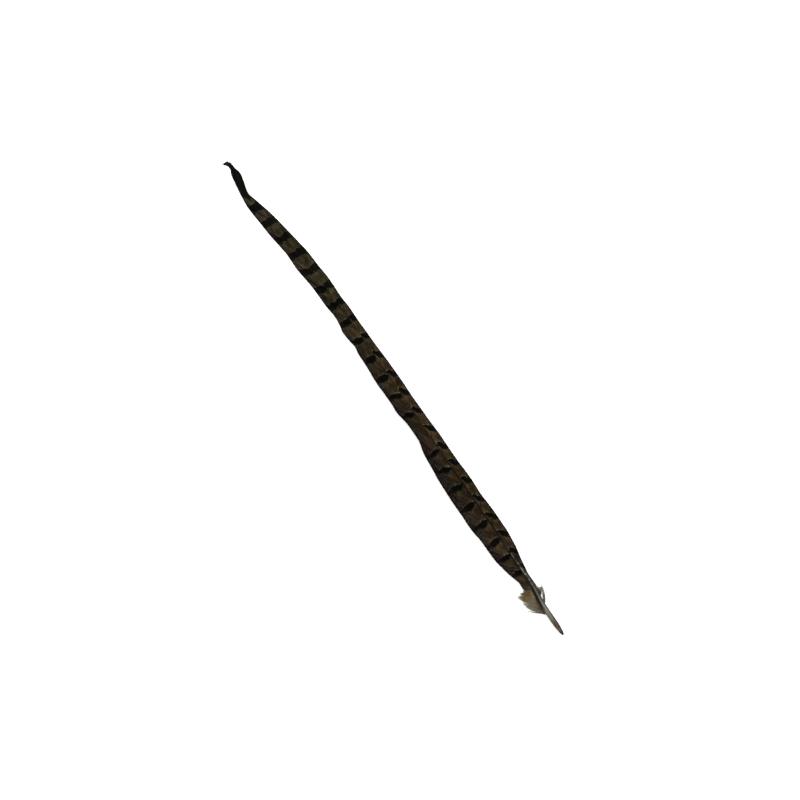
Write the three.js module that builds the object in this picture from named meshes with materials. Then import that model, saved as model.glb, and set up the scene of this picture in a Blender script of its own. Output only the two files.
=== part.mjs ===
// The long tail feather of a cock pheasant, lying on a flat surface with its upper side up.
//
// Five pieces: the shaft (quill and rachis), the wide left vane, the narrow right vane, and the
// two tufts of down at the foot of the vanes. All lengths are in millimetres. While the feather
// is drawn, Y runs from the quill's end to the tip, X goes across and Z is the height above the
// surface. At the end the whole feather is moved so that the origin is under its middle.
import * as THREE from "three";

// ---- Driving dimensions ------------------------------------------------------------------

const LENGTH = 500; // quill's end to tip, straight
const GAP = 0.35; // clearance between the shaft and what grows from it
const VANE_THICKNESS = 0.8;
const LYING = 0.35; // height of the middle of a vane's edge where it lies on the surface
const DOWN_THICKNESS = 1.2;
const VANE_CROWN = 0.06; // how far a vane bulges upwards, as a share of its width
const VANE_ROWS = 4; // facets across a vane
const SHAFT_SIDES = 12; // an even number, with a level facet underneath
const KINK_START = 460; // the shaft bends sharply past this
const FINE_PITCH = 4; // between sections at the shaft's two ends
const COARSE_PITCH = 8; // between sections of the long middle stretch
const QUILL_TIP_SECTION = 2; // the quill's end takes one more section here
const COARSE_START = 60;

const QUILL_RADIUS = 2.4;
const LEFT_VANE_FOOT = 52; // the left vane starts here
const RIGHT_VANE_FOOT = 48; // the right vane starts here
const VANES_END = 496; // past this only the shaft's thin end goes on
const LEFT_DOWN = { from: 26, to: LEFT_VANE_FOOT - GAP };
const RIGHT_DOWN = { from: 31.5, to: RIGHT_VANE_FOOT - GAP };

// The middle of the shaft: [y, x, height]. The quill lies level on the surface. The shaft then
// arches over the surface, comes down to it, and bends sharply upwards where the tip is kinked.
const SHAFT_LINE = [
  [0, -0.2, QUILL_RADIUS - 0.5],
  [12, 0, QUILL_RADIUS],
  [28, 0.4, QUILL_RADIUS],
  [36, 1.2, 2.7],
  [44, 2.5, 3.1],
  [52, 3.3, 3.6],
  [68, 3.9, 4.6],
  [86, 4.3, 5.6],
  [129, 5.3, 7.2],
  [172, 6.5, 7.6],
  [215, 7.2, 7.2],
  [258, 8.4, 6.4],
  [301, 9.6, 5.4],
  [330, 10, 4.7],
  [360, 9.5, 4],
  [396, 8, 3.3],
  [430, 4.8, 2.8],
  [452, 1.8, 2.6],
  [465, -0.2, 2.8],
  [472, 0.6, 3.5],
  [482, 3, 5.2],
  [490, 4.2, 6.6],
  [496, 4, 7.4],
  [LENGTH, 1.4, 7.9],
];

// The shaft's section: [y, width, depth]
const SHAFT_SECTION = [
  [0, 1.6, 1.4],
  [3, 3.2, 3.4],
  [12, 2 * QUILL_RADIUS, 2 * QUILL_RADIUS],
  [28, 2 * QUILL_RADIUS, 2 * QUILL_RADIUS],
  [40, 4.3, 4.6],
  [52, 3.7, 4.2],
  [68, 2.9, 3.8],
  [86, 2, 3.4],
  [129, 1.7, 2.9],
  [258, 1.4, 2.1],
  [387, 1.1, 1.4],
  [460, 0.9, 1],
  [496, 0.7, 0.7],
  [LENGTH, 0.5, 0.5],
];

// The outer edges of the vanes: [y, x, height]. Both lie on the surface between y = 378 and
// y = 456, and the blade past the kink is turned with its right edge up.
const LEFT_EDGE = [
  [LEFT_VANE_FOOT, -5.2, 2.2],
  [58, -4.9, 2.2],
  [68, -7.2, 2.3],
  [88, -10.1, 2.3],
  [105, -10.2, 2.1],
  [120, -11.1, 1.9],
  [151, -10.3, 2],
  [172, -9, 2.3],
  [193, -6.4, 2.9],
  [209, -2.9, 3.4],
  [223, -2.4, 3.3],
  [238, -4, 2.9],
  [265, -3.1, 2.5],
  [296, -1.5, 1.8],
  [306, -0.1, 1.6],
  [318, -1.1, 1.4],
  [334, 1, 1.1],
  [360, 0.2, 0.6],
  [378, -0.4, LYING],
  [389, -1.2, LYING],
  [404, -0.9, LYING],
  [422, -2.6, LYING],
  [456, -4.4, LYING],
  [466, -3.4, 0.7],
  [474, -2.1, 1.2],
  [484, -0.2, 2],
  [VANES_END, 2, 6],
];
const RIGHT_EDGE = [
  [RIGHT_VANE_FOOT, 5.9, 3.2],
  [60, 5.8, 3.7],
  [72, 8, 4],
  [88, 11.5, 4.1],
  [103, 13.1, 4],
  [120, 13.5, 4.1],
  [137, 13.2, 4.3],
  [160, 14.2, 4.6],
  [180, 13.7, 4.6],
  [205, 14.6, 4.3],
  [235, 14.4, 3.9],
  [272, 15.5, 3.3],
  [304, 15, 2.6],
  [338, 15.7, 1.6],
  [360, 15.7, 0.8],
  [378, 15.3, LYING],
  [396, 14.4, LYING],
  [416, 12, LYING],
  [440, 8.4, LYING],
  [456, 5, LYING],
  [466, 2.9, 1.4],
  [474, 5, 4.6],
  [484, 7.4, 8.2],
  [VANES_END, 6, 9],
];

// The outer edges of the two tufts of down: [y, x, height]
const LEFT_DOWN_EDGE = [
  [LEFT_DOWN.from, -3.6, 2],
  [31, -8, 1.6],
  [36, -11.3, 1.3],
  [43, -12.5, 1.1],
  [48, -12, 1.1],
  [LEFT_DOWN.to, -8, 1.4],
];
const RIGHT_DOWN_EDGE = [
  [RIGHT_DOWN.from, 4.2, 3],
  [36, 6.2, 3.8],
  [42, 9.2, 5],
  [46, 10.2, 5.6],
  [RIGHT_DOWN.to, 8.6, 5.2],
];
// The right tuft stands clear of the shaft over this stretch: [y, distance]
const RIGHT_DOWN_CLEARANCE = [
  [RIGHT_DOWN.from, GAP],
  [34, GAP],
  [36, 1.6],
  [39, 1.8],
  [42, GAP],
  [RIGHT_DOWN.to, GAP],
];

// ---- Curves ------------------------------------------------------------------------------

// The slope of a line of rows at row k: none at a peak or beside a level stretch, so that the
// smooth line through the rows never swings past them.
function slopeAt(rows, k, column) {
  const secant = (i) => (rows[i + 1][column] - rows[i][column]) / (rows[i + 1][0] - rows[i][0]);
  if (k === 0) return secant(0);
  if (k === rows.length - 1) return secant(k - 1);
  const [before, after] = [secant(k - 1), secant(k)];
  return before * after <= 0 ? 0 : (2 * before * after) / (before + after);
}

// The values at y of a smooth line through rows of [y, value, value ...] with rising y.
function along(rows, y) {
  const last = rows.length - 1;
  if (y <= rows[0][0]) return rows[0].slice(1);
  if (y >= rows[last][0]) return rows[last].slice(1);
  const i = rows.findIndex((row, k) => y < rows[k + 1][0]);
  const [a, b] = [rows[i], rows[i + 1]];
  const span = b[0] - a[0];
  const t = (y - a[0]) / span;
  return a.slice(1).map((value, k) => {
    const rise = span * slopeAt(rows, i, k + 1);
    const endRise = span * slopeAt(rows, i + 1, k + 1);
    return (
      value * (1 + 2 * t) * (1 - t) ** 2 +
      rise * t * (1 - t) ** 2 +
      b[k + 1] * t * t * (3 - 2 * t) +
      endRise * t * t * (t - 1)
    );
  });
}

// Where sections are taken: close together at the quill and at the kinked tip.
function stations(from, to) {
  const all = [0, QUILL_TIP_SECTION];
  for (let y = FINE_PITCH; y < COARSE_START; y += FINE_PITCH) all.push(y);
  for (let y = COARSE_START; y < KINK_START; y += COARSE_PITCH) all.push(y);
  for (let y = KINK_START; y <= LENGTH; y += FINE_PITCH) all.push(y);
  return [from, ...all.filter((y) => y > from + 1 && y < to - 1), to];
}

// A closed body through rings of points. Each ring lies at one y, holds the same even number of
// points, and has point i above point count - 1 - i, so that its ends close as a ladder does.
function loft(rings) {
  const count = rings[0].length;
  const position = rings.flat().flatMap((p) => p.toArray());
  const index = [];
  for (let r = 0; r + 1 < rings.length; r++) {
    for (let i = 0; i < count; i++) {
      const a = r * count + i;
      const b = r * count + ((i + 1) % count);
      index.push(a, b, b + count, a, b + count, a + count);
    }
  }
  const end = (rings.length - 1) * count;
  for (let i = 0; i < count / 2 - 1; i++) {
    const [top, nextTop, nextLow, low] = [i, i + 1, count - 2 - i, count - 1 - i];
    index.push(top, low, nextLow, top, nextLow, nextTop);
    index.push(end + top, end + nextLow, end + low, end + top, end + nextTop, end + nextLow);
  }
  const geometry = new THREE.BufferGeometry();
  geometry.setAttribute("position", new THREE.Float32BufferAttribute(position, 3));
  geometry.setIndex(index);
  geometry.computeVertexNormals();
  return geometry;
}

// ---- Pieces ------------------------------------------------------------------------------

// One ring of the shaft: a polygon round its middle, with level facets above and below.
function shaftRing(y) {
  const [x, z] = along(SHAFT_LINE, y);
  const [width, depth] = along(SHAFT_SECTION, y);
  const half = Math.PI / SHAFT_SIDES;
  const ring = [];
  for (let i = 0; i < SHAFT_SIDES; i++) {
    const angle = Math.PI - half - 2 * half * i;
    const across = (width / 2 / Math.cos(half)) * Math.cos(angle);
    const up = (depth / 2 / Math.cos(half)) * Math.sin(angle);
    ring.push(new THREE.Vector3(x + across, y, z + up));
  }
  return ring;
}

// One ring of a thin sheet from the shaft's side to the point [edgeX, edgeZ]. Its middle line
// rises by crown in between, and the sheet is as thick on both sides of that line.
function sheetRing(y, edgeX, edgeZ, clearance, thickness, crown) {
  const [x, z] = along(SHAFT_LINE, y);
  const [width] = along(SHAFT_SECTION, y);
  const side = Math.sign(edgeX - x);
  const way = new THREE.Vector2(edgeX - x, edgeZ - z).normalize();
  const root = way.clone().multiplyScalar(width / 2 + clearance).add(new THREE.Vector2(x, z));
  const edge = new THREE.Vector2(edgeX, edgeZ);
  const bulge = crown * root.distanceTo(edge);
  const tops = [];
  const lows = [];
  for (let i = 0; i <= VANE_ROWS; i++) {
    const t = i / VANE_ROWS;
    const middle = root.clone().lerp(edge, t);
    middle.y += 4 * bulge * t * (1 - t);
    const slope = new THREE.Vector2(edge.x - root.x, edge.y - root.y + 4 * bulge * (1 - 2 * t));
    const up = new THREE.Vector2(-slope.y, slope.x).normalize().multiplyScalar((side * thickness) / 2);
    tops.push(new THREE.Vector3(middle.x + up.x, y, middle.y + up.y));
    lows.push(new THREE.Vector3(middle.x - up.x, y, middle.y - up.y));
  }
  const ring = [...tops, ...lows.reverse()];
  return side < 0 ? ladderTurned(ring) : ring;
}

// The same ring run the other way round, still with its upper points first.
function ladderTurned(ring) {
  const half = ring.length / 2;
  return [...ring.slice(0, half).reverse(), ...ring.slice(half).reverse()];
}

function vane(edgeLine, foot) {
  const rings = stations(foot, VANES_END).map((y) => {
    const [edgeX, edgeZ] = along(edgeLine, y);
    return sheetRing(y, edgeX, edgeZ, GAP, VANE_THICKNESS, VANE_CROWN);
  });
  return loft(rings);
}

function tuft(edgeLine, { from, to }, clearanceAt) {
  const rings = stations(from, to).map((y) => {
    const [edgeX, edgeZ] = along(edgeLine, y);
    return sheetRing(y, edgeX, edgeZ, clearanceAt(y), DOWN_THICKNESS, VANE_CROWN);
  });
  return loft(rings);
}

// ---- Materials and assembly --------------------------------------------------------------

const horn = new THREE.MeshStandardMaterial({ color: 0x87826f, roughness: 0.45, metalness: 0 });
const barredBarbs = new THREE.MeshStandardMaterial({ color: 0x332c1e, roughness: 0.8, metalness: 0 });
const rustyBarbs = new THREE.MeshStandardMaterial({ color: 0x3a2f20, roughness: 0.8, metalness: 0 });
const tanDown = new THREE.MeshStandardMaterial({ color: 0x7d6a50, roughness: 0.95, metalness: 0 });
const paleDown = new THREE.MeshStandardMaterial({ color: 0xa39c8c, roughness: 0.95, metalness: 0 });

const feather = new THREE.Group();

function add(name, geometry, material) {
  const mesh = new THREE.Mesh(geometry, material);
  mesh.name = name;
  feather.add(mesh);
}

add("shaft", loft(stations(0, LENGTH).map(shaftRing)), horn);
add("left_vane", vane(LEFT_EDGE, LEFT_VANE_FOOT), barredBarbs);
add("right_vane", vane(RIGHT_EDGE, RIGHT_VANE_FOOT), rustyBarbs);
add("left_down_tuft", tuft(LEFT_DOWN_EDGE, LEFT_DOWN, () => GAP), tanDown);
add(
  "right_down_tuft",
  tuft(RIGHT_DOWN_EDGE, RIGHT_DOWN, (y) => along(RIGHT_DOWN_CLEARANCE, y)[0]),
  paleDown,
);

// The origin goes to the middle of the feather's box, on the surface that it lies on.
const box = new THREE.Box3().setFromObject(feather);
feather.position.set(-(box.min.x + box.max.x) / 2, -(box.min.y + box.max.y) / 2, -box.min.z);

export default feather;
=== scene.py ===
# The long tail feather of a cock pheasant, barb by barb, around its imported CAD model.
#
# The feather is drawn in millimetres, as the CAD model is: y runs from the quill's end to the
# tip, x goes across towards the narrow right vane and z is the height above the surface. The
# shaft's CAD node says where the drawing lies in the row frame.

import math

import bpy
import numpy as np
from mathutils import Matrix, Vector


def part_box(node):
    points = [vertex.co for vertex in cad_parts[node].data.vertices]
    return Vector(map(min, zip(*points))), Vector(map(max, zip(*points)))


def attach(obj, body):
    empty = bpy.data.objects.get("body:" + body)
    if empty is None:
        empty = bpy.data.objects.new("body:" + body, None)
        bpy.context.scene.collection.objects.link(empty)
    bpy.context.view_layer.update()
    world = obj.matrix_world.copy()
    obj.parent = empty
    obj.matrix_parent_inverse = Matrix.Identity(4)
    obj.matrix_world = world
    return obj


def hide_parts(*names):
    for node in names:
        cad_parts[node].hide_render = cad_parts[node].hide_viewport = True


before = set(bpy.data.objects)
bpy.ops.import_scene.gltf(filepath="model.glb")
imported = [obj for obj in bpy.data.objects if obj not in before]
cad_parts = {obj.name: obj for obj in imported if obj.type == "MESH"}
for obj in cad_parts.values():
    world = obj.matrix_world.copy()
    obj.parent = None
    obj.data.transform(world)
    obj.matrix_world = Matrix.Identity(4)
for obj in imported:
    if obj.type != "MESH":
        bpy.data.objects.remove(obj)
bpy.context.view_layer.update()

# ---- Driving dimensions, in millimetres ----

MM = 0.001
LENGTH = 500.0
HOOK_END = 499.6  # the tip turns to the left here, just short of the CAD model's end
QUILL_RADIUS = 2.4
LYING = 0.35  # height of the middle of a vane's edge where it lies on the surface
LEFT = -1
RIGHT = 1

# The middle of the shaft: (y, x, height). It is the CAD model's line, with a closer bend at the
# very tip.
SHAFT_LINE = [
    (0, -0.2, QUILL_RADIUS - 0.5), (12, 0, QUILL_RADIUS), (28, 0.4, QUILL_RADIUS), (36, 1.2, 2.7),
    (44, 2.5, 3.1), (52, 3.3, 3.6), (68, 3.9, 4.6), (86, 4.3, 5.6), (129, 5.3, 7.2),
    (172, 6.5, 7.6), (215, 7.2, 7.2), (258, 8.4, 6.4), (301, 9.6, 5.4), (330, 10, 4.7),
    (360, 9.5, 4), (396, 8, 3.3), (430, 4.8, 2.8), (452, 1.8, 2.6), (465, -0.2, 2.8),
    (472, 0.6, 3.5), (482, 3, 5.2), (490, 4.2, 6.6), (495.6, 4.1, 7.4), (498, 2.2, 7.8),
    (HOOK_END, -0.6, 8),
]

# The shaft's section: (y, width, depth), as in the CAD model.
SHAFT_SECTION = [
    (0, 1.6, 1.4), (3, 3.2, 3.4), (12, 2 * QUILL_RADIUS, 2 * QUILL_RADIUS),
    (28, 2 * QUILL_RADIUS, 2 * QUILL_RADIUS), (40, 4.3, 4.6), (52, 3.7, 4.2), (68, 2.9, 3.8),
    (86, 2, 3.4), (129, 1.7, 2.9), (258, 1.4, 2.1), (387, 1.1, 1.4), (460, 0.9, 1),
    (496, 0.7, 0.7), (LENGTH, 0.5, 0.5),
]

# The outer edges of the vanes: (y, x, height). They follow the CAD model's edges, with the
# small jogs and the hooked tip that its facets leave out.
EDGES = {
    LEFT: [
        (46, -3.8, 2.2), (52, -5.2, 2.2), (58, -4.9, 2.2), (63.5, -6.1, 2.3), (74, -8.4, 2.3),
        (88, -10.1, 2.3), (105, -10.2, 2.1), (120, -11.2, 1.9), (136, -10.6, 1.95),
        (151, -10.3, 2), (162, -9.7, 2.1), (172, -9, 2.3), (182, -7.7, 2.6), (193, -6.4, 2.9),
        (199, -5.2, 3.2), (209, -2.8, 3.4), (223, -2.4, 3.3), (230, -3.1, 3.1), (238, -4.1, 2.9),
        (248, -3.2, 2.7), (265, -3.2, 2.5), (286, -1.9, 2), (298, -1.3, 1.8), (306, 0, 1.6),
        (311, -0.7, 1.5), (320, -1.1, 1.4), (328, 0.4, 1.2), (337, 1.1, 1.1), (348, 0.4, 0.8),
        (368, 0.3, 0.5), (378, -0.4, LYING), (389, -1.3, LYING), (402, -0.9, LYING),
        (415, -1.9, LYING), (422, -2.7, LYING), (440, -3.7, LYING), (456, -4.4, LYING),
        (466, -3.4, 0.7), (474, -2.1, 1.2), (484, -0.1, 2), (488.8, 1.2, 3.8), (491, 2.5, 4.8),
        (495, 2.3, 6.2), (497.4, 0.4, 7), (HOOK_END, -0.9, 7.6),
    ],
    RIGHT: [
        (46, 5.9, 3.1), (53, 6.0, 3.4), (60, 6.1, 3.7), (66, 7.1, 3.9), (72, 8, 4),
        (88, 11.5, 4.1), (103, 13.1, 4), (120, 13.5, 4.1), (137, 13.2, 4.3), (160, 14.2, 4.6),
        (177, 13.7, 4.6), (205, 14.6, 4.3), (235, 14.4, 3.9), (272, 15.5, 3.3), (306, 15, 2.6),
        (338, 15.7, 1.6), (347, 15.3, 1.2), (370, 15.9, 0.6), (378, 15.3, LYING),
        (396, 14.7, LYING), (404, 13.65, LYING), (416, 12.05, LYING), (440, 8.55, LYING),
        (456, 5.1, LYING), (466, 2.9, 1.4), (474, 5, 4.6), (484, 7.4, 8.3), (489, 6.4, 8.8),
        (494.4, 6, 8.8), (496.8, 5.2, 8.6), (498.8, 2.2, 8.4), (HOOK_END, -0.4, 8.3),
    ],
}

# The middle of each black bar half way out on the vane. The left vane is ruffled near y = 200,
# and its ninth bar is smeared there.
BARS = {
    LEFT: [
        66.2, 82.6, 99.3, 117.8, 136.7, 155.7, 174.6, 191.8, 202, 230.5, 250.3,
        269.2, 288.5, 307.9, 326.8, 344.4, 362.1, 381.8, 399.9, 417.1, 436, 452.4,
    ],
    RIGHT: [
        70.5, 83.8, 101.8, 120.2, 138.7, 157.2, 175.8, 193.4, 212, 230.9, 249.5,
        268.6, 288.6, 307.7, 326.8, 344, 362.1, 381, 399, 417.1, 435.2, 451.5,
    ],
}
BAR_PITCH = 18.5  # between two bars, as a rule
CLOSEST_BARS = 4  # the middles of two slanting bars come no closer than this
RUFFLED_BAR = 9

# How far a bar shifts towards the tip for each millimetre outwards: (y, shift).
BAR_SLANTS = {
    LEFT: [
        (66, 0), (83, 0), (99, -0.06), (118, -0.06), (137, 0), (156, 0.05), (175, 0.3), (192, 0),
        (202, -2.1), (230, 0.25), (250, 0.3), (289, 0.05), (327, 0.2), (382, 0.27), (436, 0.05),
    ],
    RIGHT: [
        (60, -0.9), (100, -1.07), (289, -0.95), (327, -0.4), (362, -0.2), (400, -0.15), (435, 0),
    ],
}

# How far a barb's tip lies past its root, for each millimetre of the vane's width: (y, lean).
BARB_LEANS = [(46, 0.35), (58, 0.6), (85, 1.3), (140, 1.9), (300, 2.3), (420, 2.8), (490, 3)]
BARB_SPACING = 0.5
BARB_STATIONS = 16
BARB_BEND = 0.38  # 0 for a straight barb, 1 for one that starts at a right angle to the shaft
BARB_OVERLAP = 2.0  # a barb's web is this many times as wide as the spacing
CLOSEST_BARBS = 0.3  # the webs are made for a spacing of at least this
FRINGE = 0.25  # the barbs' free tips stand this far past the vane's edge
FRINGE_SPREAD = 0.07
BARB_UNEVENNESS = 0.02  # how far a barb strays from its place at its tip
BARB_RIDGE = 0.13  # how far a barb's top stands above the vane's sheet
BARB_KEEL = 0.16  # how far its underside stands below it
WEB_TWIST = 0.05  # a web's lower edge is this far below the sheet, its upper edge above it
LEAST_HEIGHT = 0.06  # the barbs stay this far above the surface
VANE_CROWN = 0.06  # how far a vane bulges upwards, as a share of its width
VANE_FOOT = 46.5  # where the first barb grows
VANE_TIP = 498.8  # the last barbs lean towards this
LAST_ROOT_GAP = 0.8  # the last barb grows this far short of the vane's tip
MOST_ADVANCE = 0.85  # a barb leans over at most this share of the way to the vane's tip
WIDTH_AHEAD = 6  # the vane's width for a barb is taken this far past its root
RIPPLE = 0.14  # height of the waves at a vane's edge

# Where barbs part so that a notch shows in the edge: (y, how far a barb's tip is pushed aside).
NOTCHES = {LEFT: [(185, 0.15), (290, 0.1), (310, 0.1)], RIGHT: [(401, 0.3)]}
SPLIT_STRETCH = (60, 480)  # smaller splits lie between these

SEEDS = {
    "left_barbs": 11, "right_barbs": 12,
    "left_down": 31, "left_down_barbules": 32,
    "right_down": 41, "right_down_barbules": 42,
}

# ---- Curves ----


def slopes(y, values):
    """The slope at each point of a line: none at a peak or beside a level stretch."""
    secants = np.diff(values, axis=0) / np.diff(y)[:, None]
    before = secants[:-1]
    after = secants[1:]
    product = before * after
    total = np.where(product > 0, before + after, 1)
    inner = np.where(product > 0, 2 * product / total, 0)
    return np.vstack([secants[:1], inner, secants[-1:]])


def along(rows, at):
    """The values at each y in at of a smooth line through rows of (y, value, value ...)."""
    table = np.array(rows, float)
    y = table[:, 0]
    values = table[:, 1:]
    slope = slopes(y, values)
    at = np.clip(np.asarray(at, float), y[0], y[-1])
    i = np.clip(np.searchsorted(y, at, side="right") - 1, 0, len(y) - 2)
    span = (y[i + 1] - y[i])[..., None]
    t = (at - y[i])[..., None] / span
    return (
        values[i] * (1 + 2 * t) * (1 - t) ** 2
        + span * slope[i] * t * (1 - t) ** 2
        + values[i + 1] * t * t * (3 - 2 * t)
        + span * slope[i + 1] * t * t * (t - 1)
    )


def unit(vectors):
    """The same directions with length 1."""
    return vectors / np.linalg.norm(vectors, axis=-1, keepdims=True)


def smooth_step(low, high, value):
    """0 below low, 1 above high, and a smooth rise between them."""
    t = np.clip((value - low) / (high - low), 0, 1)
    return t * t * (3 - 2 * t)


# ---- Meshes ----

shaft_low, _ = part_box("shaft")
DRAWING_ORIGIN = np.array([shaft_low.x + QUILL_RADIUS * MM, shaft_low.y, 0.0])


def add_object(name, data):
    """A new object in the scene."""
    added = bpy.data.objects.new(name, data)
    bpy.context.scene.collection.objects.link(added)
    return added


def signed_volume(points, quads):
    """The volume inside quads, below zero where they face inwards."""
    a, b, c, d = (points[quads[:, k]] for k in range(4))
    first = np.einsum("ij,ij->i", a, np.cross(b, c)).sum()
    second = np.einsum("ij,ij->i", a, np.cross(c, d)).sum()
    return (first + second) / 6


def tube_atlas(count, stations, sides, aspect):
    """UVs for the quads and the end caps of many tubes, each in a cell of its own.

    aspect is how many times as many rows of cells there are as columns.
    """
    columns = max(1, round(math.sqrt(count / aspect)))
    rows = math.ceil(count / columns)
    cell = np.arange(count)
    left = (cell % columns) / columns
    low = (cell // columns) / rows
    inset = 0.08
    u = inset + (1 - 2 * inset) * np.arange(stations) / (stations - 1)
    v = inset + (1 - 2 * inset) * np.arange(sides + 1) / sides
    u_all = left[:, None] + u[None, :] / columns
    v_all = low[:, None] + v[None, :] / rows
    u0, u1, v0, v1 = np.broadcast_arrays(
        u_all[:, :-1, None], u_all[:, 1:, None], v_all[:, None, :-1], v_all[:, None, 1:]
    )
    quads = np.stack([u0, v0, u0, v1, u1, v1, u1, v0], axis=-1).reshape(-1, 4, 2)
    angle = 2 * math.pi * np.arange(sides) / sides
    ring = np.stack([np.cos(angle) / columns, np.sin(angle) / rows], axis=-1) * inset / 3
    centre = np.stack([left + 0.5 * inset / columns, low + 0.5 / rows], axis=-1)
    start = centre[:, None, :] + ring[None, :, :]
    end = start + np.array([(1 - inset) / columns, 0])
    return quads, np.concatenate([start, end])


def tubes(name, rings, material, attributes, aspect=30):
    """One mesh of closed tubes from rings shaped (tube, station, side, xyz), in millimetres."""
    count, stations, sides, _ = rings.shape
    index = np.arange(count * stations * sides).reshape(count, stations, sides)
    turned = np.roll(index, -1, axis=2)
    corners = [index[:, :-1], turned[:, :-1], turned[:, 1:], index[:, 1:]]
    quads = np.stack(corners, axis=-1).reshape(-1, 4)
    caps = np.concatenate([index[:, 0, ::-1], index[:, -1]])
    quad_uvs, cap_uvs = tube_atlas(count, stations, sides, aspect)
    points = rings.reshape(-1, 3)
    if signed_volume(points, quads) < 0:
        quads = quads[:, ::-1]
        quad_uvs = quad_uvs[:, ::-1]
        caps = caps[:, ::-1]
        cap_uvs = cap_uvs[:, ::-1]
    mesh = bpy.data.meshes.new(name)
    placed = points * MM + DRAWING_ORIGIN
    mesh.from_pydata(placed.tolist(), [], quads.tolist() + caps.tolist())
    uv_layer = mesh.uv_layers.new(name="OFBake")
    uvs = np.concatenate([quad_uvs.reshape(-1, 2), cap_uvs.reshape(-1, 2)])
    uv_layer.uv.foreach_set("vector", uvs.astype(np.float32).ravel())
    mesh.polygons.foreach_set("use_smooth", np.ones(len(mesh.polygons), bool))
    for key, values in attributes.items():
        whole = np.broadcast_to(values, rings.shape[:3])
        layer = mesh.attributes.new(key, "FLOAT", "POINT")
        layer.data.foreach_set("value", whole.astype(np.float32).ravel())
    mesh.materials.append(material)
    return add_object(name, mesh)


# ---- Materials ----


def colour(red, green, blue):
    """An sRGB colour, each part from 0 to 255, as Blender's linear RGBA."""
    parts = []
    for value in (red, green, blue):
        share = value / 255
        linear = share / 12.92 if share <= 0.04045 else ((share + 0.055) / 1.055) ** 2.4
        parts.append(linear)
    return (*parts, 1.0)


# The Mix node has sockets for numbers, vectors and colours. These are the ones for colours.
MIX_SHARE = 0
MIX_FIRST = 6
MIX_SECOND = 7
MIX_RESULT = 2
WHITE = (1.0, 1.0, 1.0, 1.0)


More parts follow.
